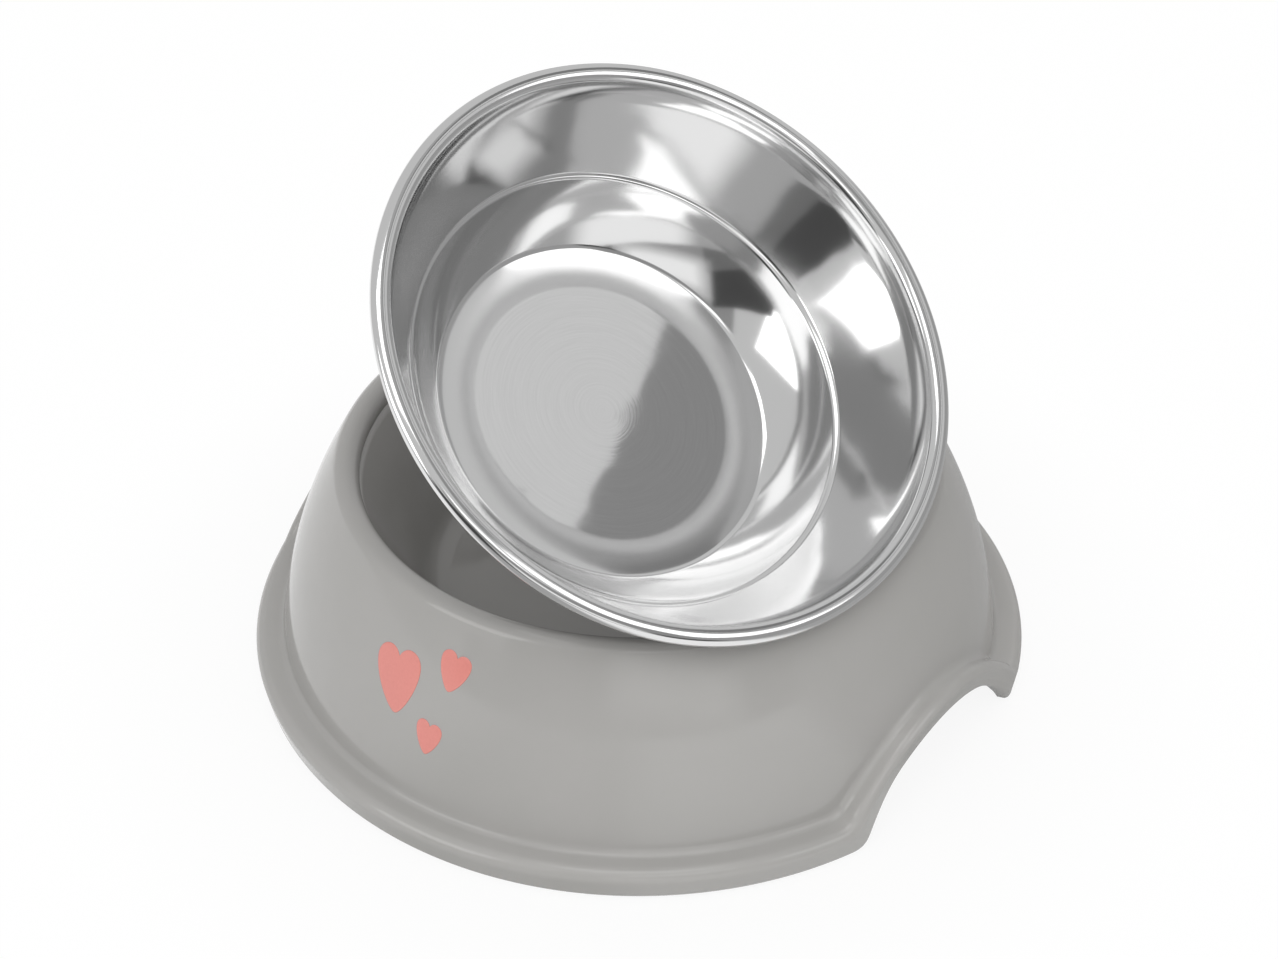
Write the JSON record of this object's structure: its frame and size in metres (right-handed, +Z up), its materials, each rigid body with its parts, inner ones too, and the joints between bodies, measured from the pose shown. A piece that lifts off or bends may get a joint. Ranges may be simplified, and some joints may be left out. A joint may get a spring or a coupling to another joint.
{
  "type": "pet food bowl",
  "caption": "Pet food bowl: a round moulded holder with finger arches in its foot band and a lift-out polished steel bowl, tipped up on the holder's rim.",
  "frame": {"origin": "on the floor, on the holder's upright axis", "axes": "+Z is up, +X points out of one finger arch, +Y along the holder's widest foot"},
  "size_m": [0.1696, 0.1792, 0.1362],
  "materials": {
    "holder_plastic": "smooth satin-gloss moulded plastic, warm grey",
    "polished_steel": "polished stainless sheet, fine circular brushing on the floor",
    "foot_rubber": "matt dark rubber"
  },
  "bodies": {
    "holder": {"holder": "holder_plastic", "rubber_foot_1": "foot_rubber", "rubber_foot_2": "foot_rubber", "rubber_foot_3": "foot_rubber", "rubber_foot_4": "foot_rubber"},
    "bowl": {"steel_bowl": "polished_steel"}
  },
  "joints": [
    {"name": "bowl_tip", "type": "hinge", "parent": "holder", "child": "bowl", "pos_m": [0.06754, -0.01679, 0.0461], "axis": [0.2371, 0.9539, 0.1838], "range_deg": [-37.9, 22]}
  ]
}
